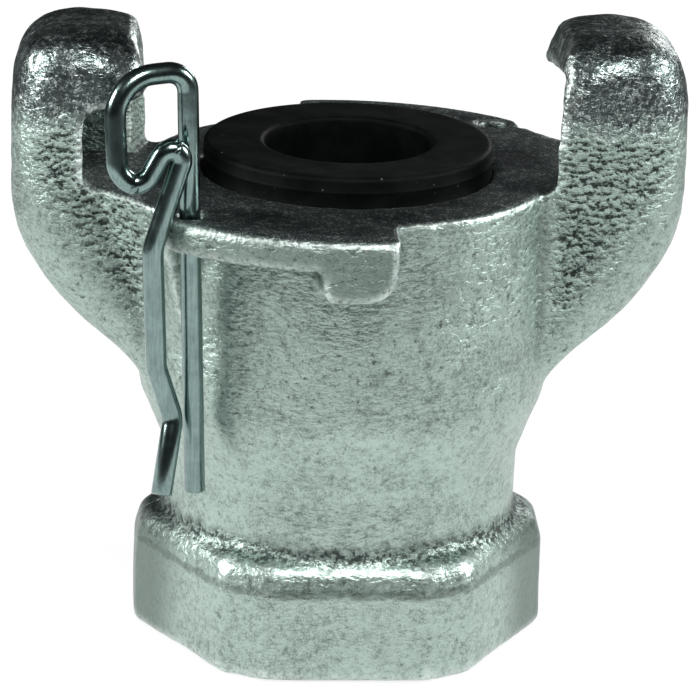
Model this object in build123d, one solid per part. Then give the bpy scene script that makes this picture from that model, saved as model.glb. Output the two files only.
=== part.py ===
from build123d import *
from math import atan2, cos, degrees, radians, sin, tan
import os

# One half of a two-claw quick hose coupling with a female pipe thread end, and its locking clip.
# Sizes are in millimetres. Z runs up the bore, the hexagon stands on z = 0 and the claws lie on X.
# What comes twice on the casting is made for one side and copied by half a turn about Z.

# Hexagon wrench end
HEX_FLATS = 41.2
HEX_CORNER_CUT = 3.2
HEX_HEIGHT = 9.9
HEX_SHOULDER = 3.3
HEX_SHOULDER_LEAN = 14.0
HEX_SHOULDER_ROUND = 2.2
HEX_FOOT_BEVEL = 0.7

# Neck and barrel, turned forms about Z
NECK_RADIUS = 19.1
NECK_TOP = 20.4
BARREL_RADIUS = 22.0
BARREL_START = 27.6
BARREL_BEND = 5.0
FACE_HEIGHT = 51.1

# Waterway, pipe thread and gasket seat
THREAD_RADIUS = 14.8
THREAD_DEPTH = 19.0
THREAD_MOUTH = 1.8
THREAD_FLOOR_ANGLE = 30.0
WATERWAY_RADIUS = 10.2
SEAT_DEPTH = 4.5
LIP_HEIGHT = 1.9
LIP_REACH = 1.0

# Rubber gasket
GASKET_RADIUS = 15.5
GASKET_BORE = 9.0
GASKET_PROUD = 3.0
GASKET_BEVEL = 0.5
GASKET_CLEARANCE = 0.1

# Cam ledge, out from the barrel, with the lock ear at one end and the stop block at the other
LEDGE_REACH = 6.2
LEDGE_THICKNESS = 3.7
LEDGE_BEVEL = 0.5
LEDGE_SINK = 2.0
STOP_BLOCK_END = 4.0
STOP_BLOCK_WIDTH = 7.9
STOP_BLOCK_DEPTH = 6.9
STOP_BLOCK_END_ROUND = 3.4
STOP_BLOCK_FOOT_ROUND = 1.2
LOCK_HOLE_RADIUS = 1.8
LOCK_HOLE_ANGLE = -133.0
LOCK_EAR_RADIUS = 3.0

# Claw: its channel takes the ledge of the other half with some play, and a wall stands outside that
CHANNEL_PLAY = 1.3
CLAW_WALL = 6.25
CLAW_WIDTH = 18.8
CLAW_RISE = 16.0
CLAW_ROUND = 6.0
STOP_WALL = 5.8

# Arm that leaves the barrel and turns up into the claw, its bends as shares of its reach and rise
ARM_ROOT_WIDTH = 17.2
ARM_ROOT_RADIUS = 12.0
ARM_ROOT_DROP = 13.0
ARM_SINK = 0.9
ARM_LEAN = 0.735
ARM_LIFT = 0.52
ARM_TURN = 0.37
ARM_SHARPER = 1.0
ARM_SHARES = (0.0, 0.36, 0.6, 0.79)
ELBOW_DROP = 0.5

# Hook at the claw's top, set by where its sections fan out and where they reach
HOOK_COVER = 0.8
HOOK_GAP = 11.4
HOOK_LEAN_OUT = 19.0
HOOK_LEAN_ALONG = 9.5
HOOK_NOSE_WIDTH = 13.6
HOOK_NOSE_ROUND = 3.6
HEEL_BACK = 1.0
HEEL_RISE = 3.0
PIVOT_BACK = 0.8
PIVOT_DROP = 2.5
CROWN_DROP = 8.4
CROWN_CORNER_IN = 1.7
CROWN_CORNER_DROP = 2.1
CREST_IN = 7.5
CREST_NARROWER = 0.3
CREST_SHARPER = 0.5
NOSE_HEEL_BACK = 0.2
NOSE_HEEL_RISE = 1.4
NOSE_TOP_BACK = 1.5
NOSE_TOP_DROP = 0.8

# Web that carries the face from the claw's open side round to the lock ear
WEB_FOOT = 24.0
WEB_INSET = 1.5
WEB_SINK = 0.6
WEB_BEND_OUT = 6.8
WEB_BEND_SIDE = 2.9
WEB_EAR_OUT = 3.4
WEB_EAR_IN = 1.4
WEB_EAR_ANGLE = -134.5
WEB_FOOT_SHARE = 0.715

# Locking clip, bent from round spring wire: heights are taken from the casting's face
WIRE_RADIUS = 1.1
CLIP_TURN = -161.0
CLIP_TILT = 2.0
PIN_LENGTH = 30.3
BOW_RISE = 15.2
BOW_WIDTH = 8.0
BOW_BEND_NEAR = 2.2
BOW_BEND_FAR = 4.3
BOW_FOOT = 4.5
BOW_FOOT_SIDE = 0.7
BOW_FOOT_BEND = 2.6
CROSSING_START = 3.9
CROSSING_START_OUT = 5.35
CROSSING_START_SIDE = 1.2
CROSSING_START_BEND = 2.0
CROSSING_RISE = 8.1
CROSSING_OUT = 3.1
CROSSING_SIDE = 2.0
CROSSING_END = 7.2
CROSSING_END_OUT = 1.35
CROSSING_END_SIDE = 2.4
CROSSING_BEND = 1.35
LEG_HIP = 2.9
LEG_HIP_OUT = 4.6
LEG_HIP_SIDE = 1.3
LEG_HIP_BEND = 5.0
PINCH_START = 16.0
PINCH_START_OUT = 4.1
PINCH_START_SIDE = 0.35
PINCH_START_BEND = 4.0
PINCH_DEPTH = 22.0
PINCH_OUT = 2.27
PINCH_BEND = 2.4
LEG_LENGTH = 29.2
LEG_SPLAY = 4.7
LEG_SPLAY_SIDE = 2.8

LEDGE_RADIUS = BARREL_RADIUS + LEDGE_REACH
LOCK_HOLE_REACH = LEDGE_RADIUS - LOCK_EAR_RADIUS
CHANNEL_RADIUS = LEDGE_RADIUS + CHANNEL_PLAY
STOP_WALL_RADIUS = BARREL_RADIUS + CHANNEL_PLAY
CLAW_REACH = CHANNEL_RADIUS + CLAW_WALL
CLAW_TOP = FACE_HEIGHT + CLAW_RISE
HOOK_TIP_RADIUS = BARREL_RADIUS - HOOK_COVER
HEEL_RADIUS = BARREL_RADIUS - HEEL_BACK
HEEL_HEIGHT = FACE_HEIGHT + HEEL_RISE
SEAT_RADIUS = GASKET_RADIUS + GASKET_CLEARANCE
SEAT_HEIGHT = FACE_HEIGHT - SEAT_DEPTH


def polar(radius, angle):
    """Point at a radius and an angle in degrees."""
    return Vector(radius * cos(radians(angle)), radius * sin(radians(angle)))


def both_sides(shape):
    """The shape and its copy half a turn about Z."""
    return shape + Rot(0, 0, 180) * shape


def hex_end():
    """Hexagon with cut corners, and the leaning shoulder above it."""
    outline = RegularPolygon(radius=HEX_FLATS / 2, side_count=6, major_radius=False)
    outline = chamfer(outline.vertices(), HEX_CORNER_CUT)
    prism = extrude(outline, HEX_HEIGHT)
    prism = chamfer(prism.edges().group_by(Axis.Z)[0], HEX_FOOT_BEVEL)
    shoulder = extrude(Pos(0, 0, HEX_HEIGHT) * outline, HEX_SHOULDER, taper=HEX_SHOULDER_LEAN)
    shoulder = fillet(shoulder.edges().group_by(Axis.Z)[-1], HEX_SHOULDER_ROUND)
    return prism + shoulder


def barrel():
    """Neck, cone and barrel up to the coupling face."""
    points = [
        (0, HEX_FOOT_BEVEL),
        (NECK_RADIUS, HEX_FOOT_BEVEL),
        (NECK_RADIUS, NECK_TOP),
        (BARREL_RADIUS, BARREL_START),
        (BARREL_RADIUS, FACE_HEIGHT),
        (0, FACE_HEIGHT),
    ]
    profile = Plane.XZ * make_face(Polyline(*points, close=True))
    corners = profile.vertices().filter_by(lambda v: v.Z in (NECK_TOP, BARREL_START))
    profile = fillet(corners, BARREL_BEND)
    return revolve(profile, Axis.Z)


def sector(inner, outer, start, end):
    """Plan outline of a ring's sector between two angles."""
    middle = (start + end) / 2
    far = 2 * outer
    wedge = make_face(Polyline((0, 0), polar(far, start), polar(far, middle), polar(far, end), close=True))
    return (Circle(outer) - Circle(inner)) & wedge


def rim_edges(shape):
    """Edges of a ledge that lie on its rim or round its lock ear, without the ear's uprights."""
    reach = LEDGE_RADIUS - LEDGE_BEVEL
    outside = shape.edges().filter_by(lambda e: Vector((e @ 0.5).X, (e @ 0.5).Y).length > reach)
    return outside.filter_by(lambda e: abs((e @ 0).Z - (e @ 1).Z) < LEDGE_THICKNESS - LEDGE_BEVEL)


def stop_block():
    """Deeper end of the -Y ledge, seen from the front: rounded where it stops and at its foot."""
    start = STOP_BLOCK_END - STOP_BLOCK_WIDTH
    bottom = FACE_HEIGHT - STOP_BLOCK_DEPTH
    points = [(start, FACE_HEIGHT), (start, bottom), (STOP_BLOCK_END, bottom), (STOP_BLOCK_END, FACE_HEIGHT)]
    front = make_face(Polyline(*points, close=True))
    low = front.vertices().group_by(Axis.Y)[0].sort_by(Axis.X)
    front = fillet(low[0], STOP_BLOCK_FOOT_ROUND)
    low = front.vertices().sort_by_distance((STOP_BLOCK_END, bottom))
    front = fillet(low[0], STOP_BLOCK_END_ROUND)
    bar = extrude(Plane.XZ * front, LEDGE_RADIUS)
    height = 3 * FACE_HEIGHT
    return bar & (Cylinder(LEDGE_RADIUS, height) - Cylinder(BARREL_RADIUS - LEDGE_SINK, height))


def ledge():
    """Cam ledge on the -Y side: a thin rim from the lock ear to the deeper stop block."""
    block_middle = degrees(atan2(-LEDGE_RADIUS, STOP_BLOCK_END - STOP_BLOCK_WIDTH / 2))
    rim = sector(BARREL_RADIUS - LEDGE_SINK, LEDGE_RADIUS, LOCK_HOLE_ANGLE, block_middle)
    hole = polar(LOCK_HOLE_REACH, LOCK_HOLE_ANGLE)
    ear = Pos(hole.X, hole.Y) * Circle(LOCK_EAR_RADIUS)
    ring = extrude(Pos(0, 0, FACE_HEIGHT) * (rim + ear), -LEDGE_THICKNESS)
    shape = ring + stop_block()
    return chamfer(rim_edges(shape), LEDGE_BEVEL)


def claw_section(inner, outer, half_width, rounding):
    """Cross section of the claw: flat inside, rounded outside, between two points given as x and height."""
    start = Vector(inner[0], 0, inner[1])
    run = Vector(outer[0], 0, outer[1]) - start
    plane = Plane(origin=start, x_dir=(0, 1, 0), z_dir=(run.Z, 0, -run.X))
    depth = run.length
    outline = Pos(0, depth / 2) * Rectangle(2 * half_width, depth)
    far = outline.vertices().group_by(Axis.Y)[-1]
    return plane * fillet(far, rounding)


def arm_sections():
    """Cross sections of the arm on the +X side, from its root in the barrel to just under the face."""
    foot = (BARREL_RADIUS - ARM_SINK, BARREL_START)
    elbow = (CLAW_REACH, FACE_HEIGHT - ELBOW_DROP)
    reach = elbow[0] - foot[0]
    rise = elbow[1] - foot[1]
    leave = (foot[0] + ARM_LEAN * reach, foot[1] + ARM_LIFT * rise)
    turn = (elbow[0], elbow[1] - ARM_TURN * rise)
    outer = Bezier(foot, leave, turn, elbow)
    buried = Vector(ARM_ROOT_RADIUS, FACE_HEIGHT - ARM_ROOT_DROP)
    heel = Vector(HEEL_RADIUS, HEEL_HEIGHT)
    sections = []
    for share in ARM_SHARES:
        inner = buried + (heel - buried) * share ** 2
        width = ARM_ROOT_WIDTH + share * (CLAW_WIDTH - ARM_ROOT_WIDTH)
        rounding = CLAW_ROUND - (1 - share) * ARM_SHARPER
        sections.append(claw_section(tuple(inner), tuple(outer @ share), width / 2, rounding))
    return sections


def hook_sections():
    """Cross sections of the hook on the +X side, fanned round the crown from the face to the nose."""
    half = CLAW_WIDTH / 2
    heel = (HEEL_RADIUS, HEEL_HEIGHT)
    pivot = (HOOK_TIP_RADIUS + PIVOT_BACK, FACE_HEIGHT + HOOK_GAP - PIVOT_DROP)
    throat = ((heel[0] + pivot[0]) / 2, (heel[1] + pivot[1]) / 2)
    crest_heel = (pivot[0], pivot[1] + PIVOT_BACK)
    nose_heel = (HOOK_TIP_RADIUS + NOSE_HEEL_BACK, pivot[1] + NOSE_HEEL_RISE)
    nose_top = (HOOK_TIP_RADIUS + NOSE_TOP_BACK, CLAW_TOP - NOSE_TOP_DROP)
    corner = (CLAW_REACH - CROWN_CORNER_IN, CLAW_TOP - CROWN_CORNER_DROP)
    crest = (CLAW_REACH - CREST_IN, CLAW_TOP)
    return [
        claw_section(heel, (CLAW_REACH, FACE_HEIGHT), half, CLAW_ROUND),
        claw_section(throat, (CLAW_REACH, CLAW_TOP - CROWN_DROP), half, CLAW_ROUND),
        claw_section(pivot, corner, half, CLAW_ROUND),
        claw_section(crest_heel, crest, half - CREST_NARROWER, CLAW_ROUND - CREST_SHARPER),
        claw_section(nose_heel, nose_top, HOOK_NOSE_WIDTH / 2, HOOK_NOSE_ROUND),
    ]


def claw_blank():
    """Solid arm and hook on the +X side, before the channel is cut."""
    return loft(arm_sections() + hook_sections())


def hook_plane():
    """Sloping underside of the hook on the +X side: lower outwards and towards the open end."""
    slope_out = tan(radians(HOOK_LEAN_OUT))
    slope_along = tan(radians(HOOK_LEAN_ALONG))
    origin = (HOOK_TIP_RADIUS, 0, FACE_HEIGHT + HOOK_GAP)
    return Plane(origin=origin, z_dir=(slope_out, slope_along, 1))


def channel():
    """Space under the hook on the +X side: the ledge groove, and the clearing in front of the stop wall."""
    height = 2 * CLAW_RISE
    groove = Pos(0, 0, FACE_HEIGHT) * Cylinder(CHANNEL_RADIUS, height, align=(Align.CENTER, Align.CENTER, Align.MIN))
    wall_face = STOP_WALL - CLAW_WIDTH / 2
    window = Pos(0, wall_face, FACE_HEIGHT) * Box(
        2 * CHANNEL_RADIUS, 2 * CHANNEL_RADIUS, height, align=(Align.MIN, Align.MIN, Align.MIN)
    )
    clearing = Pos(0, 0, FACE_HEIGHT) * Cylinder(
        STOP_WALL_RADIUS, height, align=(Align.CENTER, Align.CENTER, Align.MIN)
    )
    space = (groove & window) + clearing
    return split(space, bisect_by=hook_plane(), keep=Keep.BOTTOM)


def web_outline(share, height):
    """Plan outline of the web at a height, drawn at the face's size times a share."""
    side = CLAW_WIDTH / 2
    ear = polar(LOCK_HOLE_REACH, LOCK_HOLE_ANGLE + 180)
    valley = polar(BARREL_RADIUS - ARM_SINK, WEB_EAR_ANGLE + 180)
    claw_end = Vector(CHANNEL_RADIUS - WEB_INSET, side - WEB_SINK) * share
    bend = Vector(ear.X + WEB_BEND_OUT, side + WEB_BEND_SIDE) * share
    ear_end = Vector(ear.X + WEB_EAR_OUT, ear.Y - WEB_EAR_IN) * share
    hollow = Spline(claw_end, bend, ear_end)
    root = side * share / 2
    inside = Polyline(ear_end, valley * share, (valley.X * share, root), (claw_end.X, root), claw_end)
    return Pos(0, 0, height) * make_face(hollow + inside)


def web():
    """Buttress on the +X side that carries the face from the claw's open side to the lock ear."""
    return loft([web_outline(WEB_FOOT_SHARE, WEB_FOOT), web_outline(1.0, FACE_HEIGHT)], ruled=True)


def bores():
    """Pipe thread hole, waterway, and the gasket's seat with the groove for its lip."""
    ramp = (THREAD_RADIUS - WATERWAY_RADIUS) * tan(radians(THREAD_FLOOR_ANGLE))
    lip_top = SEAT_HEIGHT + LIP_HEIGHT + GASKET_CLEARANCE
    mouth = THREAD_RADIUS + THREAD_MOUTH
    beyond = 1.0
    points = [
        (0, -beyond),
        (mouth + beyond, -beyond),
        (THREAD_RADIUS, THREAD_MOUTH),
        (THREAD_RADIUS, THREAD_DEPTH),
        (WATERWAY_RADIUS, THREAD_DEPTH + ramp),
        (WATERWAY_RADIUS, SEAT_HEIGHT),
        (SEAT_RADIUS + LIP_REACH, SEAT_HEIGHT),
        (SEAT_RADIUS + LIP_REACH, lip_top),
        (SEAT_RADIUS, lip_top),
        (SEAT_RADIUS, FACE_HEIGHT + beyond),
        (0, FACE_HEIGHT + beyond),
    ]
    return revolve(Plane.XZ * make_face(Polyline(*points, close=True)), Axis.Z)


def lock_hole():
    """Hole through the lock ear of the -Y ledge."""
    hole = polar(LOCK_HOLE_REACH, LOCK_HOLE_ANGLE)
    return Pos(hole.X, hole.Y, FACE_HEIGHT) * Cylinder(LOCK_HOLE_RADIUS, 3 * LEDGE_THICKNESS)


def casting():
    """The whole casting in one solid."""
    solid = hex_end() + barrel()
    solid += both_sides(ledge() + Rot(0, 0, 180) * web())
    solid += both_sides(claw_blank() - channel())
    solid -= bores()
    return solid - both_sides(lock_hole())


def gasket():
    """Rubber washer that stands proud of the face, with a lip round its foot that the seat holds."""
    top = FACE_HEIGHT + GASKET_PROUD
    points = [
        (GASKET_BORE, SEAT_HEIGHT),
        (GASKET_RADIUS + LIP_REACH, SEAT_HEIGHT),
        (GASKET_RADIUS + LIP_REACH, SEAT_HEIGHT + LIP_HEIGHT),
        (GASKET_RADIUS, SEAT_HEIGHT + LIP_HEIGHT),
        (GASKET_RADIUS, top),
        (GASKET_BORE, top),
    ]
    profile = Plane.XZ * make_face(Polyline(*points, close=True))
    profile = chamfer(profile.vertices().filter_by(lambda v: v.Z == top), GASKET_BEVEL)
    return revolve(profile, Axis.Z)


def clip_point(out, up, across=0.0):
    """Point of the clip: distance out from the pin leg, up from the face along it, and across its plane."""
    hole = polar(LOCK_HOLE_REACH, LOCK_HOLE_ANGLE)
    outward = polar(1, CLIP_TURN)
    sideways = polar(1, CLIP_TURN + 90)
    tilt = radians(CLIP_TILT)
    level = out * cos(tilt) + up * sin(tilt)
    height = FACE_HEIGHT + up * cos(tilt) - out * sin(tilt)
    return hole + outward * level + sideways * across + Vector(0, 0, height)


def safety_clip():
    """Spring wire clip: pin leg, bow to pull it by, crossing bend, and the second leg that presses on the pin."""
    corners = [
        (clip_point(0, -PIN_LENGTH), None),
        (clip_point(0, BOW_RISE), BOW_BEND_NEAR),
        (clip_point(BOW_WIDTH, BOW_RISE), BOW_BEND_FAR),
        (clip_point(BOW_WIDTH, BOW_FOOT, BOW_FOOT_SIDE), BOW_FOOT_BEND),
        (clip_point(CROSSING_START_OUT, CROSSING_START, CROSSING_START_SIDE), CROSSING_START_BEND),
        (clip_point(CROSSING_OUT, CROSSING_RISE, CROSSING_SIDE), CROSSING_BEND),
        (clip_point(CROSSING_END_OUT, CROSSING_END, CROSSING_END_SIDE), CROSSING_BEND),
        (clip_point(LEG_HIP_OUT, -LEG_HIP, LEG_HIP_SIDE), LEG_HIP_BEND),
        (clip_point(PINCH_START_OUT, -PINCH_START, PINCH_START_SIDE), PINCH_START_BEND),
        (clip_point(PINCH_OUT, -PINCH_DEPTH), PINCH_BEND),
        (clip_point(LEG_SPLAY, -LEG_LENGTH, LEG_SPLAY_SIDE), None),
    ]
    path = FilletPolyline(*[point for point, _ in corners], radius=[bend for _, bend in corners[1:-1]])
    start = Plane(origin=path @ 0, z_dir=path % 0)
    return sweep(start * Circle(WIRE_RADIUS), path=path)


os.makedirs("parts", exist_ok=True)
export_step(casting(), "parts/coupling_body.step")
export_step(gasket(), "parts/gasket.step")
export_step(safety_clip(), "parts/safety_clip.step")
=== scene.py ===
"""Looks of one half of a two-claw hose coupling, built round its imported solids.

The casting is a zinc plated cast skin with a machined face, a cut pipe thread lines its lower bore,
a moulded rubber gasket stands in its seat, and a bent wire clip hangs in the near lock hole.
All sizes are in millimetres until they become vertices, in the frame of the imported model.
"""

import logging
import math
from dataclasses import dataclass, field
from enum import Enum

import bmesh
import bpy
import numpy as np
from mathutils import Matrix, Vector, noise


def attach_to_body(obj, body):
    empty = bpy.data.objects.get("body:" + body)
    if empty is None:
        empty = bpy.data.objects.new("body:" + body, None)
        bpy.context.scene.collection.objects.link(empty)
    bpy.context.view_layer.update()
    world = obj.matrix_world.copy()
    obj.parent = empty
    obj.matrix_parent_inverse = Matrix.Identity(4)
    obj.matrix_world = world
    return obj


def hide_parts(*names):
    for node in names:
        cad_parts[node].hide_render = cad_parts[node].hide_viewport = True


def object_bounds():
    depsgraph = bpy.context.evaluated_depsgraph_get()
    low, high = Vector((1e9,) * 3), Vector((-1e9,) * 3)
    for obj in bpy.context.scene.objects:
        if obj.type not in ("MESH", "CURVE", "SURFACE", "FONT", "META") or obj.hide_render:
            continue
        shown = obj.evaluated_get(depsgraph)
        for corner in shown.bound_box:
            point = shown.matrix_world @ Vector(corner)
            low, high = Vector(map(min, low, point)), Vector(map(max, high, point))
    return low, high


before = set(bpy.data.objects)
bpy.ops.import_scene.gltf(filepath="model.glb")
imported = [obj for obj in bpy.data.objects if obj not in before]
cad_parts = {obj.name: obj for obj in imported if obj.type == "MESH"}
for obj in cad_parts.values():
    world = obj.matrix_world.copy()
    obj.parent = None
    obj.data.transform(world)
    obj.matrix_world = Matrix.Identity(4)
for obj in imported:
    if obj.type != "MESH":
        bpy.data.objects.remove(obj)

LOG = logging.getLogger("coupling")
MM = 0.001
CAD_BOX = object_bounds()

FACE_HEIGHT = 51.1
BORE_TOP = 19.0
LOCK_HOLE = (-17.186, -18.430)

Colour = tuple[float, float, float]
Point = tuple[float, float, float]
Limits = tuple[float, float]


class Slot(Enum):
    """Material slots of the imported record."""

    CASTING = "casting"
    GASKET = "gasket"
    WIRE = "wire"


class Body(Enum):
    """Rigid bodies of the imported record."""

    COUPLING = "coupling"
    CLIP = "clip"


# Small helpers.


def smooth_step(value: float, low: float, high: float) -> float:
    """Soft ramp from 0 at low to 1 at high.

    Args:
        value: number to place on the ramp.
        low: where the ramp starts.
        high: where it ends.

    Returns:
        A number from 0 to 1.
    """
    share = min(max((value - low) / (high - low), 0.0), 1.0)
    return share * share * (3 - 2 * share)


def mesh_object(name: str, points: list[Point], faces: list[tuple[int, ...]]) -> bpy.types.Object:
    """Object with a smooth shaded mesh.

    Args:
        name: object and mesh name.
        points: vertices in millimetres.
        faces: vertex indices of each face.

    Returns:
        The new object, linked to the scene.
    """
    mesh = bpy.data.meshes.new(name)
    mesh.from_pydata([Vector(point) * MM for point in points], [], faces)
    mesh.shade_smooth()
    made = bpy.data.objects.new(name, mesh)
    bpy.context.scene.collection.objects.link(made)
    return made


def bake_modifiers(thing: bpy.types.Object) -> None:
    """Replaces an object's mesh by what its modifiers make of it, and removes them.

    Args:
        thing: the object.
    """
    graph = bpy.context.evaluated_depsgraph_get()
    made = bpy.data.meshes.new_from_object(thing.evaluated_get(graph))
    thing.modifiers.clear()
    thing.data = made


def strip_faces(rings: int, sides: int, inward: bool = False) -> list[tuple[int, ...]]:
    """Faces between rings of points that follow each other.

    Args:
        rings: number of rings.
        sides: points in each ring.
        inward: turns the faces towards the axis.

    Returns:
        Vertex indices of each face.
    """
    faces: list[tuple[int, ...]] = []
    for ring in range(rings - 1):
        low, high = ring * sides, (ring + 1) * sides
        for side in range(sides):
            after = (side + 1) % sides
            if inward:
                faces.append((low + side, high + side, high + after, low + after))
            else:
                faces.append((low + side, low + after, high + after, high + side))
    return faces


def lathe(name: str, profile: list[tuple[float, float]], steps: int) -> bpy.types.Object:
    """Closed ring turned about Z from a closed profile of radius and height.

    Args:
        name: object name.
        profile: corners of the profile in order, closing on the first.
        steps: segments round the axis.

    Returns:
        The new object.
    """
    count = len(profile)
    points: list[Point] = []
    for step in range(steps):
        turn = 2 * math.pi * step / steps
        points += [(radius * math.cos(turn), radius * math.sin(turn), height) for radius, height in profile]
    faces = []
    for step in range(steps):
        near, far = step * count, (step + 1) % steps * count
        for index in range(count):
            after = (index + 1) % count
            faces.append((near + index, far + index, far + after, near + after))
    return mesh_object(name, points, faces)


def attach(piece: bpy.types.Object, body: Body, node: str, finish: bpy.types.Material) -> None:
    """Gives a piece its finish, its body and the solid that it stands for.

    Args:
        piece: the piece.
        body: the body that carries it.
        node: name of the solid that it replaces.
        finish: its material.
    """
    piece.data.materials.clear()
    piece.data.materials.append(finish)
    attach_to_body(piece, body.value)
    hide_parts(node)
    LOG.info("%s: %d faces on %s", piece.name, len(piece.data.polygons), body.value)


# Shader writing.


class Wire:
    """A number in a node tree: maths written with it adds Math nodes."""

    def __init__(self, tree: "Tree", socket: bpy.types.NodeSocket) -> None:
        """Keeps the tree and the socket."""
        self.tree = tree
        self.socket = socket

    def _maths(self, operation: str, first: "Wire | float", second: "Wire | float" = 0.0) -> "Wire":
        """One Math node on one or two values."""
        made = self.tree.node("ShaderNodeMath", {"operation": operation}, {0: first, 1: second})
        return Wire(self.tree, made.outputs[0])

    def __add__(self, other: "Wire | float") -> "Wire":
        """Sum."""
        return self._maths("ADD", self, other)

    def __radd__(self, other: float) -> "Wire":
        """Sum with a number first."""
        return self._maths("ADD", other, self)

    def __sub__(self, other: "Wire | float") -> "Wire":
        """Difference."""
        return self._maths("SUBTRACT", self, other)

    def __rsub__(self, other: float) -> "Wire":
        """Difference from a number."""
        return self._maths("SUBTRACT", other, self)

    def __mul__(self, other: "Wire | float") -> "Wire":
        """Product."""
        return self._maths("MULTIPLY", self, other)

    def __rmul__(self, other: float) -> "Wire":
        """Product with a number first."""
        return self._maths("MULTIPLY", other, self)

    def __pow__(self, other: float) -> "Wire":
        """Power."""
        return self._maths("POWER", self, other)

    def __abs__(self) -> "Wire":
        """Size without its sign."""
        return self._maths("ABSOLUTE", self)

    def high(self, other: "Wire | float") -> "Wire":
        """The larger of two values."""
        return self._maths("MAXIMUM", self, other)

    def step(self, low: float, high: float) -> "Wire":
        """Soft ramp of the value.

        Args:
            low: where the ramp is still 0.
            high: where it has come to 1.

        Returns:
            The ramp.
        """
        made = self.tree.node(
            "ShaderNodeMapRange",
            {"interpolation_type": "SMOOTHSTEP"},
            {"Value": self, "From Min": low, "From Max": high},
        )
        return Wire(self.tree, made.outputs["Result"])


class Tree:
    """A node tree under construction."""

    def __init__(self, nodes: bpy.types.NodeTree) -> None:
        """Empties the tree."""
        self.nodes = nodes
        self.nodes.nodes.clear()

    def node(self, kind: str, settings: dict | None = None, links: dict | None = None) -> bpy.types.Node:
        """Adds one node.

        Args:
            kind: the node's type.
            settings: its own settings, set first.
            links: values, sockets or wires for its inputs, by name or number.

        Returns:
            The node.
        """
        made = self.nodes.nodes.new(kind)
        for key, value in (settings or {}).items():
            setattr(made, key, value)
        for key, value in (links or {}).items():
            self.feed(made.inputs[key], value)
        return made

    def feed(self, entry: bpy.types.NodeSocket, value: object) -> None:
        """Links or sets one input.

        Args:
            entry: the input.
            value: a wire, a socket, a colour or a number.
        """
        if isinstance(value, Wire):
            value = value.socket
        if isinstance(value, bpy.types.NodeSocket):
            self.nodes.links.new(value, entry)
        elif entry.type == "RGBA":
            entry.default_value = (*value[:3], 1.0)
        else:
            entry.default_value = value

    def seen(self) -> Wire:
        """Tells the rays that show a background.

        Returns:
            1 for camera, mirror and glass rays, and 0 for the rest.
        """
        path = self.node("ShaderNodeLightPath")
        names = ("Is Camera Ray", "Is Glossy Ray", "Is Transmission Ray")
        camera, glossy, through = (Wire(self, path.outputs[name]) for name in names)
        return camera.high(glossy).high(through)


class Shader(Tree):
    """A material under construction, with its coordinates in millimetres."""

    def __init__(self, name: str) -> None:
        """Starts a material with a Principled shader.

        Args:
            name: the material's name.
        """
        self.material = bpy.data.materials.new(name)
        self.material.use_nodes = True
        super().__init__(self.material.node_tree)
        self.surface = self.node("ShaderNodeBsdfPrincipled")
        self.out = self.node("ShaderNodeOutputMaterial", links={"Surface": self.surface.outputs[0]})
        place = self.node("ShaderNodeTexCoord").outputs["Object"]
        scaled = self.node("ShaderNodeVectorMath", {"operation": "SCALE"}, {0: place, "Scale": 1 / MM})
        self.place = scaled.outputs[0]

    def split(self) -> tuple[Wire, Wire, Wire]:
        """X, Y and Z in millimetres."""
        made = self.node("ShaderNodeSeparateXYZ", links={0: self.place})
        return Wire(self, made.outputs[0]), Wire(self, made.outputs[1]), Wire(self, made.outputs[2])

    def grain(
        self,
        size: float,
        detail: float = 3.0,
        rough: float = 0.5,
        stretch: Point | None = None,
        lift: float = 0.0,
    ) -> Wire:
        """Noise from 0 to 1.

        Args:
            size: width of its lumps in millimetres.
            detail: number of finer layers.
            rough: weight of the finer layers.
            stretch: factors on the three axes, or None.
            lift: with a stretch, how far above each point the noise is read, in millimetres.

        Returns:
            The noise.
        """
        place = self.place
        if stretch:
            shift = (0.0, 0.0, lift * stretch[2])
            links = {"Vector": place, "Location": shift, "Scale": stretch}
            place = self.node("ShaderNodeMapping", links=links).outputs[0]
        links = {"Vector": place, "Scale": 1 / size, "Detail": detail, "Roughness": rough}
        return Wire(self, self.node("ShaderNodeTexNoise", links=links).outputs["Fac"])

    def specks(self, size: float, low: float, high: float) -> Wire:
        """Small round specks: 1 in their middle, 0 between them.

        Args:
            size: mean distance between them in millimetres.
            low: share of that distance where a speck begins to fade.
            high: share where it ends.

        Returns:
            The specks.
        """
        made = self.node("ShaderNodeTexVoronoi", {"feature": "F1"}, {"Vector": self.place, "Scale": 1 / size})
        return 1 - Wire(self, made.outputs["Distance"]).step(low, high)

    def stored(self, name: str) -> Wire:
        """A number stored on the mesh's points."""
        return Wire(self, self.node("ShaderNodeAttribute", {"attribute_name": name}).outputs["Fac"])

    def blend(self, share: Wire, first: object, second: object) -> bpy.types.NodeSocket:
        """Colour that goes from the first to the second with the share."""
        made = self.node("ShaderNodeMix", {"data_type": "RGBA"}, {0: share, 6: first, 7: second})
        return made.outputs[2]

    def finish(self, colour: object, rough: object, metal: object, relief: Wire | None = None) -> None:
        """Feeds the shader.

        Args:
            colour: base colour or its socket.
            rough: roughness.
            metal: metallic share.
            relief: height of the surface in millimetres, or None.
        """
        self.feed(self.surface.inputs["Base Color"], colour)
        self.feed(self.surface.inputs["Roughness"], rough)
        self.feed(self.surface.inputs["Metallic"], metal)
        if relief is not None:
            bump = self.node("ShaderNodeBump", links={"Strength": 1.0, "Distance": MM, "Height": relief})
            self.feed(self.surface.inputs["Normal"], bump.outputs[0])


# Finishes.


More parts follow.
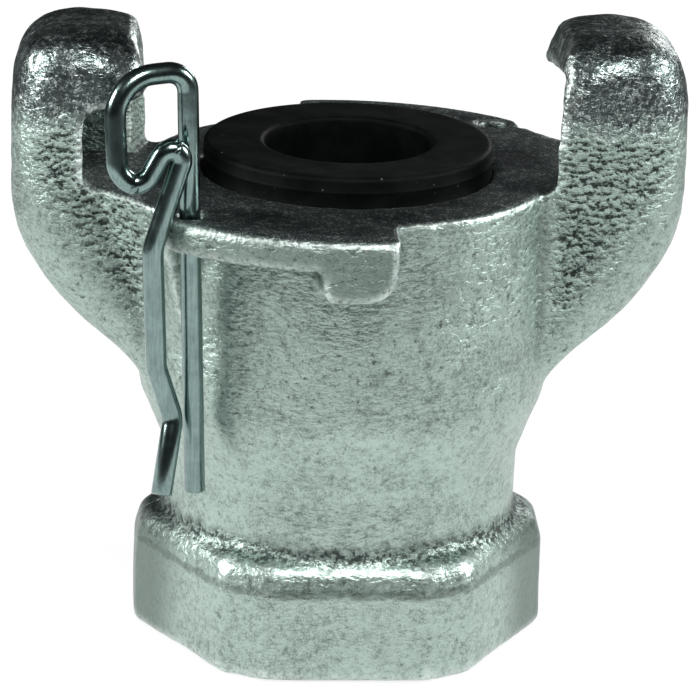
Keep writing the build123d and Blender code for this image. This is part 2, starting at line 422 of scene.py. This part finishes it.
@dataclass(frozen=True)
class CastGrain:
    """Noises of the cast skin, from broad swells down to fine grain."""

    broad: Wire
    patch: Wire
    flake: Wire
    above: Wire
    wisp: Wire
    fine: Wire

    @classmethod
    def read(cls, shader: Shader) -> "CastGrain":
        """Adds the noises; above is the flake noise read a little higher up, for the painted shade under the
        flakes.

        Args:
            shader: the material.

        Returns:
            The noises.
        """
        flat, lift = (0.85, 0.85, 1.5), 0.28
        return cls(
            broad=shader.grain(9.0, 2.0),
            patch=shader.grain(1.5, 4.0, 0.62),
            flake=shader.grain(0.9, 3.0, 0.58, flat),
            above=shader.grain(0.9, 3.0, 0.58, flat, lift),
            wisp=shader.grain(0.55, 3.0, 0.6),
            fine=shader.grain(0.2, 2.0, 0.6),
        )


@dataclass(frozen=True)
class CastMasks:
    """Where each look of the casting shows, from 0 to 1."""

    crown: Wire
    band: Wire
    ledge: Wire
    channel: Wire
    fringe: Wire
    foot: Wire
    painted_flat_shade: Wire
    worked: Wire
    seam: Wire
    machined: Wire
    edge: Wire
    hollow: Wire


@dataclass(frozen=True)
class CastZones:
    """Places of the casting's looks in millimetres, mostly as the two ends of a soft ramp."""

    claw_aside: Limits = (20.0, 23.0)
    crown_ragged: float = 9.0
    crown_up: Limits = (60.8, 64.0)
    band_slope: float = 1.5
    band_edge: Limits = (-4.0, 4.0)
    band_back: Limits = (33.5, 35.6)
    barrel_up: Limits = (27.0, 34.0)
    barrel_patches: Limits = (0.34, 0.56)
    ledge_reach: Limits = (25.2, 26.4)
    ledge_up: Limits = (38.0, 41.0)
    channel_up: Limits = (51.3, 51.9)
    channel_reach: Limits = (29.0, 29.9)
    channel_depth: Limits = (7.4, 8.4)
    roof_slope: float = 0.34
    roof_up: Limits = (69.6, 70.8)
    fringe_ragged: Limits = (2.0, 3.0)
    fringe_low: Limits = (12.9, 14.2)
    fringe_high: Limits = (15.4, 17.2)
    foot_ragged: float = 1.4
    foot_height: float = 10.75
    foot_spread: Limits = (0.02, 0.4)
    # Place of the painted shade on the hex flats that face sideways.
    flat_aside: Limits = (16.5, 20.5)
    flat_up: Limits = (15.0, 18.0)
    seam_depth: Limits = (0.15, 0.7)

    def mark(self, shader: Shader, grain: CastGrain) -> CastMasks:
        """Turns the places into masks.

        Args:
            shader: the material.
            grain: the noises, which make the borders ragged.

        Returns:
            The masks.
        """
        across, along, up = shader.split()
        aside, depth = abs(across), abs(along)
        reach = (across * across + along * along) ** 0.5
        claw = aside.step(*self.claw_aside)
        crown = (up + grain.patch * self.crown_ragged).step(*self.crown_up) * claw
        inner_side = (up - reach * self.band_slope).step(*self.band_edge)
        band = claw * inner_side * (1 - crown) * (1 - reach.step(*self.band_back) * 0.8)
        barrel_top = up.step(*self.barrel_up) * grain.broad.step(*self.barrel_patches)
        ledge = reach.step(*self.ledge_reach) * up.step(*self.ledge_up) * (1 - claw)
        roof = (up + reach * self.roof_slope).step(*self.roof_up)
        channel = claw * up.step(*self.channel_up) * (1 - roof)
        channel = channel * (1 - reach.step(*self.channel_reach)) * (1 - depth.step(*self.channel_depth))
        low, high = (up + grain.patch * ragged for ragged in self.fringe_ragged)
        fringe = low.step(*self.fringe_low) * (1 - high.step(*self.fringe_high))
        from_foot = up + grain.patch * self.foot_ragged - self.foot_height
        return CastMasks(
            crown=crown,
            band=band,
            ledge=ledge,
            channel=channel,
            fringe=fringe,
            foot=1 - (from_foot ** 2).step(*self.foot_spread),
            # Painted shade on the lower hex flats that face sideways.
            painted_flat_shade=aside.step(*self.flat_aside) * (1 - up.step(*self.flat_up)),
            worked=(barrel_top * 0.4).high(band * (1 - channel)).high(ledge * 0.5).high(fringe * 0.3),
            seam=1 - depth.step(*self.seam_depth),
            machined=shader.stored("machined"),
            edge=shader.stored("edge"),
            hollow=shader.stored("hollow"),
        )


@dataclass(frozen=True)
class CastZinc:
    """Zinc plating over a sand cast skin: pale on the barrel, crinkled on the claws, with painted shade in
    the hollows, pits and sideways hex flats, painted dark reflection on the crowns and machined face, and a
    painted highlight on worn edges.
    """

    pale: Colour = (0.47, 0.585, 0.53)
    dull: Colour = (0.22, 0.28, 0.25)
    # Crown: painted dark reflection on the claw tops; the next colour is their painted glints.
    crown: Colour = (0.06, 0.075, 0.078)
    painted_glint_tone: Colour = (0.60, 0.68, 0.66)
    # Dark colour of the shoulder's crinkles and of painted shade.
    grime_and_shade: Colour = (0.022, 0.029, 0.027)
    # Machined face: painted dark reflection; the next colour is its dust.
    painted_dark_face: Colour = (0.060, 0.078, 0.076)
    speck: Colour = (0.50, 0.56, 0.54)
    # Bright edges: wear on the rims, and a painted highlight along them.
    edge: Colour = (0.78, 0.86, 0.83)
    zones: CastZones = CastZones()

    def _plating_and_painted_light(self, shader: Shader, grain: CastGrain, mask: CastMasks) -> bpy.types.NodeSocket:
        """Plating colour: pale to dull at random, duller on the band, ledge and channel, with painted shade
        on the sideways hex flats; on the crowns a painted dark reflection with painted glints.

        Args:
            shader: the material.
            grain: the noises.
            mask: the masks.

        Returns:
            Its colour.
        """
        tone = grain.fine * 0.34 + grain.wisp * 0.3 + grain.patch * 0.24 + grain.broad * 0.12
        dulled = (mask.band * 0.36).high(mask.ledge * 0.75)
        # On the sideways hex flats the duller colour is painted shade.
        dulled = dulled.high(mask.painted_flat_shade * 0.8).high(mask.channel * 0.7)
        skin = shader.blend(tone.step(0.37, 0.57) * (1 - dulled), self.dull, self.pale)
        # Painted glints and painted dark reflection on the crowns.
        painted_glints = (grain.fine * 0.4 + grain.wisp * 0.35 + grain.patch * 0.25).step(0.49, 0.61)
        return shader.blend(mask.crown * 0.85, skin, shader.blend(painted_glints, self.crown, self.painted_glint_tone))

    def _dirt_and_painted_shade(self, grain: CastGrain, mask: CastMasks) -> Wire:
        """Dark places: painted shade in the pits, under the flakes, in the hollows and lock holes and on the
        sideways hex flats, dark crinkles on the shoulder and a dark line along its foot.

        Args:
            grain: the noises.
            mask: the masks.

        Returns:
            Share of the dark colour.
        """
        # Painted shade on the underside of each flake, where the relief rises upwards.
        under = (grain.above - grain.flake).step(0.01, 0.11) * (0.3 + 0.7 * grain.wisp.step(0.36, 0.54))
        # Painted shade in the cast pits, joined with the painted shade under the flakes.
        pits = (1 - (grain.flake * 0.5 + grain.wisp * 0.5) + mask.worked * 0.08).step(0.585, 0.68)
        pits = pits.high(under * (0.2 + 0.8 * mask.band)) * (1 - mask.crown)
        # Painted shade in the hollows and lock holes.
        mottle = mask.hollow * (0.45 + 0.55 * grain.patch.step(0.35, 0.6)) * (1 - mask.channel * 0.75)
        fringe = mask.fringe * (0.15 + 0.75 * grain.wisp.step(0.42, 0.56))
        foot = mask.foot * (0.2 + 0.45 * grain.patch)
        # Painted shade on the hex flats that face sideways.
        side = mask.painted_flat_shade * (0.1 + 0.3 * grain.patch)
        return (pits * (0.35 + 0.6 * mask.worked)).high(mottle).high(fringe).high(foot).high(side)

    def _relief(self, grain: CastGrain, mask: CastMasks) -> Wire:
        """Flakes, wisps, swells and the mould's parting line, nearly none where the casting is machined.

        Args:
            grain: the noises.
            mask: the masks.

        Returns:
            Height of the surface in millimetres.
        """
        flakes = grain.flake.step(0.28, 0.72) * (0.04 + 0.1 * mask.worked + 0.22 * mask.band)
        wisps = grain.wisp * (0.03 + 0.07 * mask.band - 0.005 * mask.crown)
        seam = mask.seam * (0.06 + 0.22 * grain.patch)
        cast = flakes + wisps + grain.broad * 0.35 + grain.patch * 0.05 + seam
        return cast * (1 - mask.edge * 0.6) * (1 - mask.machined * 0.85)

    def make(self) -> bpy.types.Material:
        """Builds the finish.

        Returns:
            The material.
        """
        shader = Shader("cast_zinc")
        grain = CastGrain.read(shader)
        mask = self.zones.mark(shader, grain)
        colour = shader.blend(self._dirt_and_painted_shade(grain, mask), self._plating_and_painted_light(shader, grain, mask), self.grime_and_shade)
        # Rubbed edges: wear, and a painted highlight along the rims.
        worn_and_highlit_edge = mask.edge * (0.3 + 0.7 * grain.wisp.step(0.38, 0.55)) * 0.85
        colour = shader.blend(worn_and_highlit_edge, colour, self.edge)
        dust = (grain.patch * 0.3 + grain.fine * 0.7).step(0.51, 0.66)
        # Machined face: painted dark reflection with real dust specks.
        colour = shader.blend(mask.machined, colour, shader.blend(dust, self.painted_dark_face, self.speck))
        rough = 0.33 - mask.crown * 0.1 + grain.wisp * 0.12 + mask.worked * 0.26 + mask.channel * 0.25
        shader.finish(colour, rough, 1.0, self._relief(grain, mask))
        return shader.material


@dataclass(frozen=True)
class CutThread:
    """Cut thread, plated with the casting."""

    light: Colour = (0.30, 0.35, 0.33)
    dark: Colour = (0.08, 0.095, 0.09)

    def make(self) -> bpy.types.Material:
        """Builds the finish.

        Returns:
            The material.
        """
        shader = Shader("cut_thread")
        lines = shader.grain(0.22, 2.0, 0.5, (1.0, 1.0, 9.0))
        mottle = shader.grain(3.0, 3.0)
        colour = shader.blend((lines * 0.4 + mottle * 0.6).step(0.3, 0.7), self.dark, self.light)
        shader.finish(colour, 0.3 + 0.2 * mottle, 0.9, lines * 0.02)
        return shader.material


@dataclass(frozen=True)
class Rubber:
    """Moulded black rubber, matt, with a little dust."""

    black: Colour = (0.0013, 0.0017, 0.0016)
    worn: Colour = (0.0036, 0.0042, 0.004)
    dust: Colour = (0.07, 0.08, 0.075)
    gloss: float = 0.05

    def make(self) -> bpy.types.Material:
        """Builds the finish.

        Returns:
            The material.
        """
        shader = Shader("moulded_rubber")
        cloud = shader.grain(3.0, 4.0)
        skin = shader.grain(0.25, 2.0)
        speck = shader.specks(1.6, 0.04, 0.11) * shader.grain(2.6, 2.0).step(0.54, 0.6)
        colour = shader.blend(cloud.step(0.35, 0.7), self.black, self.worn)
        colour = shader.blend(speck * 0.7, colour, self.dust)
        shader.surface.inputs["Specular IOR Level"].default_value = self.gloss
        shader.finish(colour, 0.52 + 0.16 * cloud, 0.0, cloud * 0.06 + skin * 0.02)
        return shader.material


@dataclass(frozen=True)
class SpringWire:
    """Drawn spring wire with bright plating."""

    bright: Colour = (0.265, 0.365, 0.35)
    shade: Colour = (0.16, 0.225, 0.217)

    def make(self) -> bpy.types.Material:
        """Builds the finish.

        Returns:
            The material.
        """
        shader = Shader("spring_wire")
        drawn = shader.grain(0.5, 3.0, 0.6, (2.2, 2.2, 0.12))
        scuff = shader.grain(1.6, 4.0, 0.6)
        colour = shader.blend((drawn * 0.5 + scuff * 0.5).step(0.3, 0.68), self.shade, self.bright)
        shader.finish(colour, 0.12 + 0.16 * scuff, 1.0, drawn * 0.005 + scuff * 0.015)
        return shader.material


# Pieces.


@dataclass
class Casting:
    """The cast skin: a close mesh over the solid, with soft edges and the roughness of a sand casting."""

    weld: float = 0.001
    voxel: float = 0.5
    softening: int = 5
    soft_share: float = 0.5
    face_height: float = FACE_HEIGHT
    face_level: Limits = (0.2, 0.5)
    face_reach: Limits = (28.6, 29.1)
    face_upward: Limits = (0.6, 0.85)
    seat_reach: float = 16.8
    bore_reach: float = 14.2
    bore_back: float = 16.75
    bore_span: Limits = (-0.1, BORE_TOP - 0.2)
    swell: float = 0.14
    swell_pace: float = 0.14
    lump: float = 0.10
    lump_pace: float = 0.55
    lump_start: Point = (7.0, 3.0, 1.0)
    lump_barrel: float = 0.35
    sink: float = 0.05
    claw_up: Limits = (36.0, 46.0)
    claw_reach: Limits = (21.5, 25.0)
    edge_turns: int = 4
    edge_seen: Limits = (0.03, 0.10)
    hollow_turns: int = 40
    hollow_seen: Limits = (0.14, 0.55)
    lock_hole: tuple[float, float] = LOCK_HOLE
    lock_reach: float = 2.0

    def build(self, finish: bpy.types.Material) -> bpy.types.Object:
        """Builds and attaches the skin.

        Args:
            finish: its material.

        Returns:
            The skin.
        """
        skin = self._close_mesh()
        self._widen_bore(skin.data)
        self._mark_bends(skin.data)
        self._roughen(skin.data)
        attach(skin, Body.COUPLING, "coupling_body", finish)
        return skin

    def _close_mesh(self) -> bpy.types.Object:
        """Makes an even mesh over the solid and softens its edges.

        Returns:
            The bare skin.
        """
        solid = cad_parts["coupling_body"]
        skin = bpy.data.objects.new("cast_skin", solid.data.copy())
        bpy.context.scene.collection.objects.link(skin)
        work = bmesh.new()
        work.from_mesh(skin.data)
        bmesh.ops.remove_doubles(work, verts=work.verts, dist=self.weld * MM)
        work.to_mesh(skin.data)
        work.free()
        remesh = skin.modifiers.new("even", "REMESH")
        remesh.mode = "VOXEL"
        remesh.voxel_size = self.voxel * MM
        soften = skin.modifiers.new("soften", "SMOOTH")
        soften.factor = self.soft_share
        soften.iterations = self.softening
        bake_modifiers(skin)
        skin.data.shade_smooth()
        return skin

    def _widen_bore(self, mesh: bpy.types.Mesh) -> None:
        """Sets the lower bore's wall back, which makes room for the cut thread.

        Args:
            mesh: the skin's mesh.
        """
        low, high = self.bore_span
        for vertex in mesh.vertices:
            place = vertex.co / MM
            reach = math.hypot(place.x, place.y)
            if self.bore_reach < reach < self.bore_back and low < place.z < high:
                push = self.bore_back / reach
                vertex.co.x *= push
                vertex.co.y *= push

    def _mark_bends(self, mesh: bpy.types.Mesh) -> None:
        """Stores how far each point stands out of a softened copy of the skin, or lies under it.

        Edges that stand out are rubbed bright, which is wear and also a painted highlight, and hollows, with
        the lock holes, get painted shade.

        Args:
            mesh: the skin's mesh.
        """
        count = len(mesh.vertices)
        places = np.empty(count * 3)
        normals = np.empty(count * 3, np.float32)
        pairs = np.empty(len(mesh.edges) * 2, np.int32)
        mesh.vertices.foreach_get("co", places)
        mesh.vertex_normals.foreach_get("vector", normals)
        mesh.edges.foreach_get("vertices", pairs)
        places = places.reshape(-1, 3) / MM
        normals = normals.reshape(-1, 3)
        first, second = pairs.reshape(-1, 2).T
        joined = np.bincount(pairs, minlength=count)
        soft = places.copy()
        for turn in range(1, self.hollow_turns + 1):
            for axis in range(3):
                level = soft[:, axis]
                around = np.bincount(first, level[second], count) + np.bincount(second, level[first], count)
                soft[:, axis] = (level + around / joined) / 2
            if turn == self.edge_turns:
                near = ((places - soft) * normals).sum(axis=1)
        wide = ((soft - places) * normals).sum(axis=1)
        # The lock holes count as deep hollows, so they get painted shade inside.
        for x, y in (self.lock_hole, (-self.lock_hole[0], -self.lock_hole[1])):
            wide[np.hypot(places[:, 0] - x, places[:, 1] - y) < self.lock_reach] = self.hollow_seen[1]
        for name, depth, (low, high) in (("edge", near, self.edge_seen), ("hollow", wide, self.hollow_seen)):
            share = np.clip((depth - low) / (high - low), 0, 1)
            mesh.attributes.new(name, "FLOAT", "POINT").data.foreach_set("value", share.astype(np.float32))

    def _machined(self, place: Vector, upward: float) -> float:
        """How far a place on the skin belongs to the machined face, seat or bores.

        Args:
            place: point in millimetres.
            upward: height of its normal.

        Returns:
            0 for a cast place up to 1 for a machined one.
        """
        reach = math.hypot(place.x, place.y)
        if reach < self.seat_reach:
            return 1.0
        level = 1 - smooth_step(abs(place.z - self.face_height), *self.face_level)
        return level * smooth_step(upward, *self.face_upward) * (1 - smooth_step(reach, *self.face_reach))

    def _roughen(self, mesh: bpy.types.Mesh) -> None:
        """Adds swells and lumps of the sand mould, held inside the solid's box.

        Args:
            mesh: the skin's mesh.
        """
        low, high = (Vector(corner) / MM for corner in CAD_BOX)
        machined = []
        moved = []
        for vertex in mesh.vertices:
            place = vertex.co / MM
            cut = self._machined(place, vertex.normal.z)
            reach = math.hypot(place.x, place.y)
            claw = smooth_step(place.z, *self.claw_up) * smooth_step(reach, *self.claw_reach)
            swell = noise.noise(place * self.swell_pace) * self.swell
            lump = noise.noise(place * self.lump_pace + Vector(self.lump_start)) * self.lump
            lump *= self.lump_barrel + (1 - self.lump_barrel) * claw
            place += vertex.normal * (swell + lump - self.sink) * (1 - cut)
            moved += [min(max(place[axis], low[axis]), high[axis]) * MM for axis in range(3)]
            machined.append(cut)
        mesh.vertices.foreach_set("co", moved)
        mesh.attributes.new("machined", "FLOAT", "POINT").data.foreach_set("value", machined)
        mesh.update()


@dataclass
class PipeThread:
    """Internal taper pipe thread as a liner of the lower bore."""

    pitch: float = 2.209
    crest: float = 14.85
    depth: float = 1.45
    taper: float = 1 / 32
    flank: Limits = (0.12, 0.88)
    mouth: float = 16.6
    back: float = 16.9
    bottom: float = 0.02
    top: float = BORE_TOP
    runout: Limits = (2.6, 0.6)
    turns_round: int = 96
    rows: int = 110

    def _wall(self, turn: float, height: float) -> float:
        """Radius of the cut wall.

        Args:
            turn: angle as a share of a full turn.
            height: height in the bore.

        Returns:
            Radius in millimetres.
        """
        phase = (height / self.pitch - turn) % 1.0
        cut = smooth_step(1 - abs(2 * phase - 1), *self.flank)
        cut *= 1 - smooth_step(height, *(self.top - drop for drop in self.runout))
        thread = self.crest + (self.top - height) * self.taper + self.depth * cut
        return max(thread, self.mouth - max(height, 0.0))

    def build(self, finish: bpy.types.Material) -> bpy.types.Object:
        """Builds and attaches the thread.

        Args:
            finish: its material.

        Returns:
            The thread.
        """
        points: list[Point] = []
        for row in range(self.rows + 1):
            height = self.bottom + (self.top - self.bottom) * row / self.rows
            for step in range(self.turns_round):
                share = step / self.turns_round
                reach = self.back if row in (0, self.rows) else self._wall(share, height)
                turn = 2 * math.pi * share
                points.append((reach * math.cos(turn), reach * math.sin(turn), height))
        liner = mesh_object("pipe_thread", points, strip_faces(self.rows + 1, self.turns_round, inward=True))
        attach(liner, Body.COUPLING, "coupling_body", finish)
        return liner


@dataclass
class Gasket:
    """Moulded rubber ring with rounded lips and a faint mould line round its side."""

    radius: float = 15.5
    bore: float = 9.0
    foot: float = 46.62
    top: float = 54.1
    lip_reach: float = 0.95
    lip_height: float = 1.85
    rounding: float = 0.55
    corner_steps: int = 6
    side_draft: float = 0.06
    top_sag: float = 0.02
    top_shares: tuple[float, ...] = (0.8, 0.6, 0.4, 0.2)
    bore_draft: float = 0.05
    bore_drop: float = 1.5
    bore_heights: Limits = (3.0, 1.2)
    line_depth: float = 0.09
    line_drop: float = 1.6
    line_shape: tuple[Limits, ...] = ((-0.25, 0.0), (-0.08, 0.8), (0.0, 1.0), (0.08, 0.8), (0.25, 0.0))
    wave: float = 0.05
    wave_pace: float = 0.12
    clearance: float = 0.05
    segments: int = 160

    def _profile(self) -> list[tuple[float, float]]:
        """Draws the ring's section, rounded at its two upper edges.

        Returns:
            Closed profile of radius and height.
        """
        inner, outer, foot, top, soft = self.bore, self.radius, self.foot, self.top, self.rounding
        lip = outer + self.lip_reach
        points = [(inner, foot), (lip, foot), (lip, foot + self.lip_height), (outer, foot + self.lip_height)]
        for offset, bulge in self.line_shape:
            points.append((outer - self.line_depth * (1 - bulge), top - self.line_drop + offset))
        turns = [math.radians(90 * step / self.corner_steps) for step in range(self.corner_steps + 1)]
        for turn in turns:
            side = outer - self.side_draft
            points.append((side - soft * (1 - math.cos(turn)), top - soft * (1 - math.sin(turn))))
        points += [(inner + (outer - inner) * share, top - self.top_sag) for share in self.top_shares]
        for turn in turns:
            points.append((inner + soft * (1 - math.sin(turn)), top - soft * (1 - math.cos(turn))))
        high, low = self.bore_heights
        points.append((inner, top - self.bore_drop))
        points += [(inner + self.bore_draft, foot + high), (inner, foot + low)]
        return points

    def build(self, finish: bpy.types.Material) -> bpy.types.Object:
        """Builds and attaches the gasket.

        Args:
            finish: its material.

        Returns:
            The gasket.
        """
        ring = lathe("rubber_gasket", self._profile(), self.segments)
        for vertex in ring.data.vertices:
            wave = noise.noise(vertex.co / MM * self.wave_pace) * self.wave
            outward = Vector((vertex.co.x, vertex.co.y, 0)).normalized()
            vertex.co -= outward * (wave + self.clearance) * MM
        attach(ring, Body.COUPLING, "gasket", finish)
        return ring


@dataclass(frozen=True)
class Corner:
    """A corner of the wire: out from the pin leg, up from the face, across its plane, and its bend."""

    out: float
    up: float
    across: float = 0.0
    bend: float = 0.0


@dataclass
class SafetyClip:
    """Bent wire clip that hangs in the near lock hole."""

    radius: float = 1.1
    end_bevel: float = 0.12
    hole: Point = (*LOCK_HOLE, FACE_HEIGHT)
    turn: float = -161.0
    tilt: float = 2.0
    sides: int = 28
    arc_step: float = 7.0
    arc_least: int = 3
    corners: list[Corner] = field(
        default_factory=lambda: [
            Corner(0.0, -30.3),
            Corner(0.0, 15.2, 0.0, 2.2),
            Corner(8.0, 15.2, 0.0, 4.3),
            Corner(8.0, 4.5, 0.7, 2.6),
            Corner(5.35, 3.9, 1.2, 2.0),
            Corner(3.1, 8.1, 2.0, 1.35),
            Corner(1.35, 7.2, 2.4, 1.35),
            Corner(4.6, -2.9, 1.3, 5.0),
            Corner(4.1, -16.0, 0.35, 4.0),
            Corner(2.27, -22.0, 0.0, 2.4),
            Corner(4.7, -29.2, 2.8),
        ]
    )

    def _place(self, corner: Corner) -> Vector:
        """Finds a corner in the frame.

        Args:
            corner: the corner.

        Returns:
            Its place in millimetres.
        """
        lean = math.radians(self.tilt)
        heading = math.radians(self.turn)
        level = corner.out * math.cos(lean) + corner.up * math.sin(lean)
        rise = corner.up * math.cos(lean) - corner.out * math.sin(lean)
        outward = Vector((math.cos(heading), math.sin(heading), 0))
        sideways = Vector((-math.sin(heading), math.cos(heading), 0))
        return Vector(self.hole) + outward * level + sideways * corner.across + Vector((0, 0, rise))

    def _arc(self, back: Vector, knot: Vector, ahead: Vector, bend: float) -> list[Vector]:
        """Rounds one corner.

        Args:
            back: direction to the corner before.
            knot: the corner.
            ahead: direction to the corner after.
            bend: radius of the arc.

        Returns:
            Points along the arc.
        """
        half = back.angle(ahead) / 2
        reach = bend / math.tan(half)
        middle = knot + (back + ahead).normalized() * (bend / math.sin(half))
        first = knot + back * reach - middle
        last = knot + ahead * reach - middle
        sweep = first.angle(last)
        steps = max(self.arc_least, int(math.degrees(sweep) / self.arc_step))
        points = []
        for step in range(steps + 1):
            share = step / steps
            spoke = first * math.sin((1 - share) * sweep) + last * math.sin(share * sweep)
            points.append(middle + spoke / math.sin(sweep))
        return points

    def _path(self) -> list[Vector]:
        """Follows the wire's middle, with an arc round each corner.

        Returns:
            Points from the pin leg's end to the other end.
        """
        knots = [self._place(corner) for corner in self.corners]
        path = [knots[0]]
        for before, knot, after, corner in zip(knots, knots[1:], knots[2:], self.corners[1:]):
            path += self._arc((before - knot).normalized(), knot, (after - knot).normalized(), corner.bend)
        path.append(knots[-1])
        return path

    def build(self, finish: bpy.types.Material) -> bpy.types.Object:
        """Builds and attaches the clip.

        Args:
            finish: its material.

        Returns:
            The clip.
        """
        path = self._path()
        start = (path[1] - path[0]).normalized()
        end = (path[-1] - path[-2]).normalized()
        narrow = self.radius - self.end_bevel
        rings = [(path[0], narrow), (path[0] + start * self.end_bevel, self.radius)]
        rings += [(place, self.radius) for place in path[1:-1]]
        rings += [(path[-1] - end * self.end_bevel, self.radius), (path[-1], narrow)]
        side = start.orthogonal().normalized()
        points: list[Vector] = []
        for index, (place, reach) in enumerate(rings):
            before = rings[max(index - 1, 0)][0]
            after = rings[min(index + 1, len(rings) - 1)][0]
            heading = (after - before).normalized()
            side = (side - heading * side.dot(heading)).normalized()
            third = heading.cross(side)
            for step in range(self.sides):
                turn = 2 * math.pi * step / self.sides
                points.append(place + (side * math.cos(turn) + third * math.sin(turn)) * reach)
        faces = strip_faces(len(rings), self.sides)
        faces.append(tuple(reversed(range(self.sides))))
        faces.append(tuple(range(len(points) - self.sides, len(points))))
        wire = mesh_object("spring_clip", points, faces)
        attach(wire, Body.CLIP, "safety_clip", finish)
        return wire


# Studio.


@dataclass(frozen=True)
class Softbox:
    """A square lamp that looks at a point; lengths in metres."""

    name: str
    place: Point
    size: float
    power: float
    aim: Point = (0.0, 0.0, 0.035)

    def build(self) -> None:
        """Adds the lamp."""
        data = bpy.data.lights.new(self.name, "AREA")
        data.shape = "SQUARE"
        data.size = self.size
        data.energy = self.power
        lamp = bpy.data.objects.new(self.name, data)
        lamp.location = self.place
        heading = Vector(self.aim) - Vector(self.place)
        lamp.rotation_euler = heading.to_track_quat("-Z", "Y").to_euler()
        bpy.context.scene.collection.objects.link(lamp)


@dataclass
class Studio:
    """Camera, lamps, pale floor, dark canopy and white surround."""

    azimuth: float = -3.63
    elevation: float = 18.03
    roll: float = 1.64
    distance: float = 505.5
    aim: Point = (0.828, -0.053, 30.52)
    lens: float = 240.8
    sensor: float = 36.0
    nearest: float = 0.01
    white: Colour = (1.0, 1.0, 1.0)
    matt: float = 0.9
    fill: float = 0.45
    floor_tone: Colour = (0.86, 0.87, 0.87)
    floor_glow: float = 0.86
    floor_drop: float = 0.02
    floor_reach: float = 3000.0
    shadow_reach: Limits = (150.0, 700.0)
    sheet_reach: float = 182.0
    sheet_lift: float = 0.5
    canopy_tone: Colour = (0.03, 0.033, 0.035)
    canopy_rings: int = 10
    canopy_sides: int = 48
    lamps: list[Softbox] = field(
        default_factory=lambda: [
            Softbox("left", (-0.50, -0.06, 0.26), 0.17, 3.2),
            Softbox("right", (0.50, -0.04, 0.27), 0.14, 2.6),
            Softbox("front", (0.03, -0.36, 0.48), 0.16, 2.6),
            Softbox("back", (0.24, 0.42, 0.17), 0.14, 0.5),
        ]
    )

    def build(self) -> None:
        """Sets the whole studio up."""
        bpy.context.scene.view_settings.view_transform = "Standard"
        self._camera()
        for lamp in self.lamps:
            lamp.build()
        self._surround()
        self._floor()
        self._canopy()
        LOG.info("studio: %d lamps", len(self.lamps))

    def _camera(self) -> None:
        """Camera where the photograph was taken from."""
        turn, rise = math.radians(self.azimuth), math.radians(self.elevation)
        back = Vector((math.sin(turn) * math.cos(rise), -math.cos(turn) * math.cos(rise), math.sin(rise)))
        right = Vector((math.cos(turn), math.sin(turn), 0))
        lean = math.radians(self.roll)
        level = right * math.cos(lean) + back.cross(right) * math.sin(lean)
        upright = back.cross(level)
        data = bpy.data.cameras.new("camera")
        data.lens = self.lens
        data.sensor_width = self.sensor
        data.clip_start = self.nearest
        camera = bpy.data.objects.new("camera", data)
        place = (Vector(self.aim) + back * self.distance) * MM
        camera.matrix_world = Matrix.Translation(place) @ Matrix((level, upright, back)).transposed().to_4x4()
        bpy.context.scene.collection.objects.link(camera)
        bpy.context.scene.camera = camera

    def _surround(self) -> None:
        """World that looks white and lights softly."""
        world = bpy.data.worlds.new("surround")
        world.use_nodes = True
        bpy.context.scene.world = world
        tree = Tree(world.node_tree)
        soft, bright = (
            tree.node("ShaderNodeBackground", links={"Color": self.white, "Strength": level}).outputs[0]
            for level in (self.fill, 1.0)
        )
        both = tree.node("ShaderNodeMixShader", links={0: tree.seen(), 1: soft, 2: bright})
        tree.node("ShaderNodeOutputWorld", links={"Surface": both.outputs[0]})

    def _floor(self) -> None:
        """Pale floor that looks white, keeps the shadow, and is clear from below."""
        reach = self.floor_reach
        plan = ((-reach, -reach), (reach, -reach), (reach, reach), (-reach, reach))
        floor = mesh_object("floor", [(x, y, -self.floor_drop) for x, y in plan], [(0, 1, 2, 3)])
        shader = Shader("pale_floor")
        shader.finish(self.floor_tone, self.matt, 0.0)
        glow = shader.node("ShaderNodeEmission", links={"Color": self.white, "Strength": 1.0})
        across, along, _ = shader.split()
        far = ((across * across + along * along) ** 0.5).step(*self.shadow_reach)
        share = (self.floor_glow + (1 - self.floor_glow) * far) * shader.seen()
        plain = shader.surface.outputs[0]
        lit = shader.node("ShaderNodeMixShader", links={0: share, 1: plain, 2: glow.outputs[0]})
        under = shader.node("ShaderNodeNewGeometry").outputs["Backfacing"]
        clear = shader.node("ShaderNodeBsdfTransparent")
        sided = shader.node("ShaderNodeMixShader", links={0: under, 1: lit.outputs[0], 2: clear.outputs[0]})
        shader.feed(shader.out.inputs["Surface"], sided.outputs[0])
        floor.data.materials.append(shader.material)

    def _canopy(self) -> None:
        """Dark room round the lit sheet of floor, which the metal mirrors as it does in the photograph."""
        reach, rings, sides = self.floor_reach / 2, self.canopy_rings, self.canopy_sides
        outline = [(self.sheet_reach, self.sheet_lift)]
        for ring in range(rings):
            rise = math.radians(90 * ring / rings)
            outline.append((reach * math.cos(rise), self.sheet_lift + reach * math.sin(rise)))
        points: list[Point] = []
        for level, height in outline:
            for side in range(sides):
                turn = 2 * math.pi * side / sides
                points.append((level * math.cos(turn), level * math.sin(turn), height))
        points.append((0.0, 0.0, reach))
        faces = strip_faces(rings + 1, sides)
        for side in range(sides):
            faces.append((rings * sides + side, rings * sides + (side + 1) % sides, len(points) - 1))
        canopy = mesh_object("canopy", points, faces)
        shader = Shader("dark_canopy")
        shader.finish(self.canopy_tone, self.matt, 0.0)
        canopy.data.materials.append(shader.material)
        canopy.visible_camera = False
        canopy.visible_diffuse = False
        canopy.visible_shadow = False


def main() -> None:
    """Builds every piece and the studio."""
    logging.basicConfig(level=logging.INFO, format="%(name)s %(message)s")
    Casting().build(CastZinc().make())
    PipeThread().build(CutThread().make())
    Gasket().build(Rubber().make())
    SafetyClip().build(SpringWire().make())
    Studio().build()


if __name__ == "__main__":
    main()
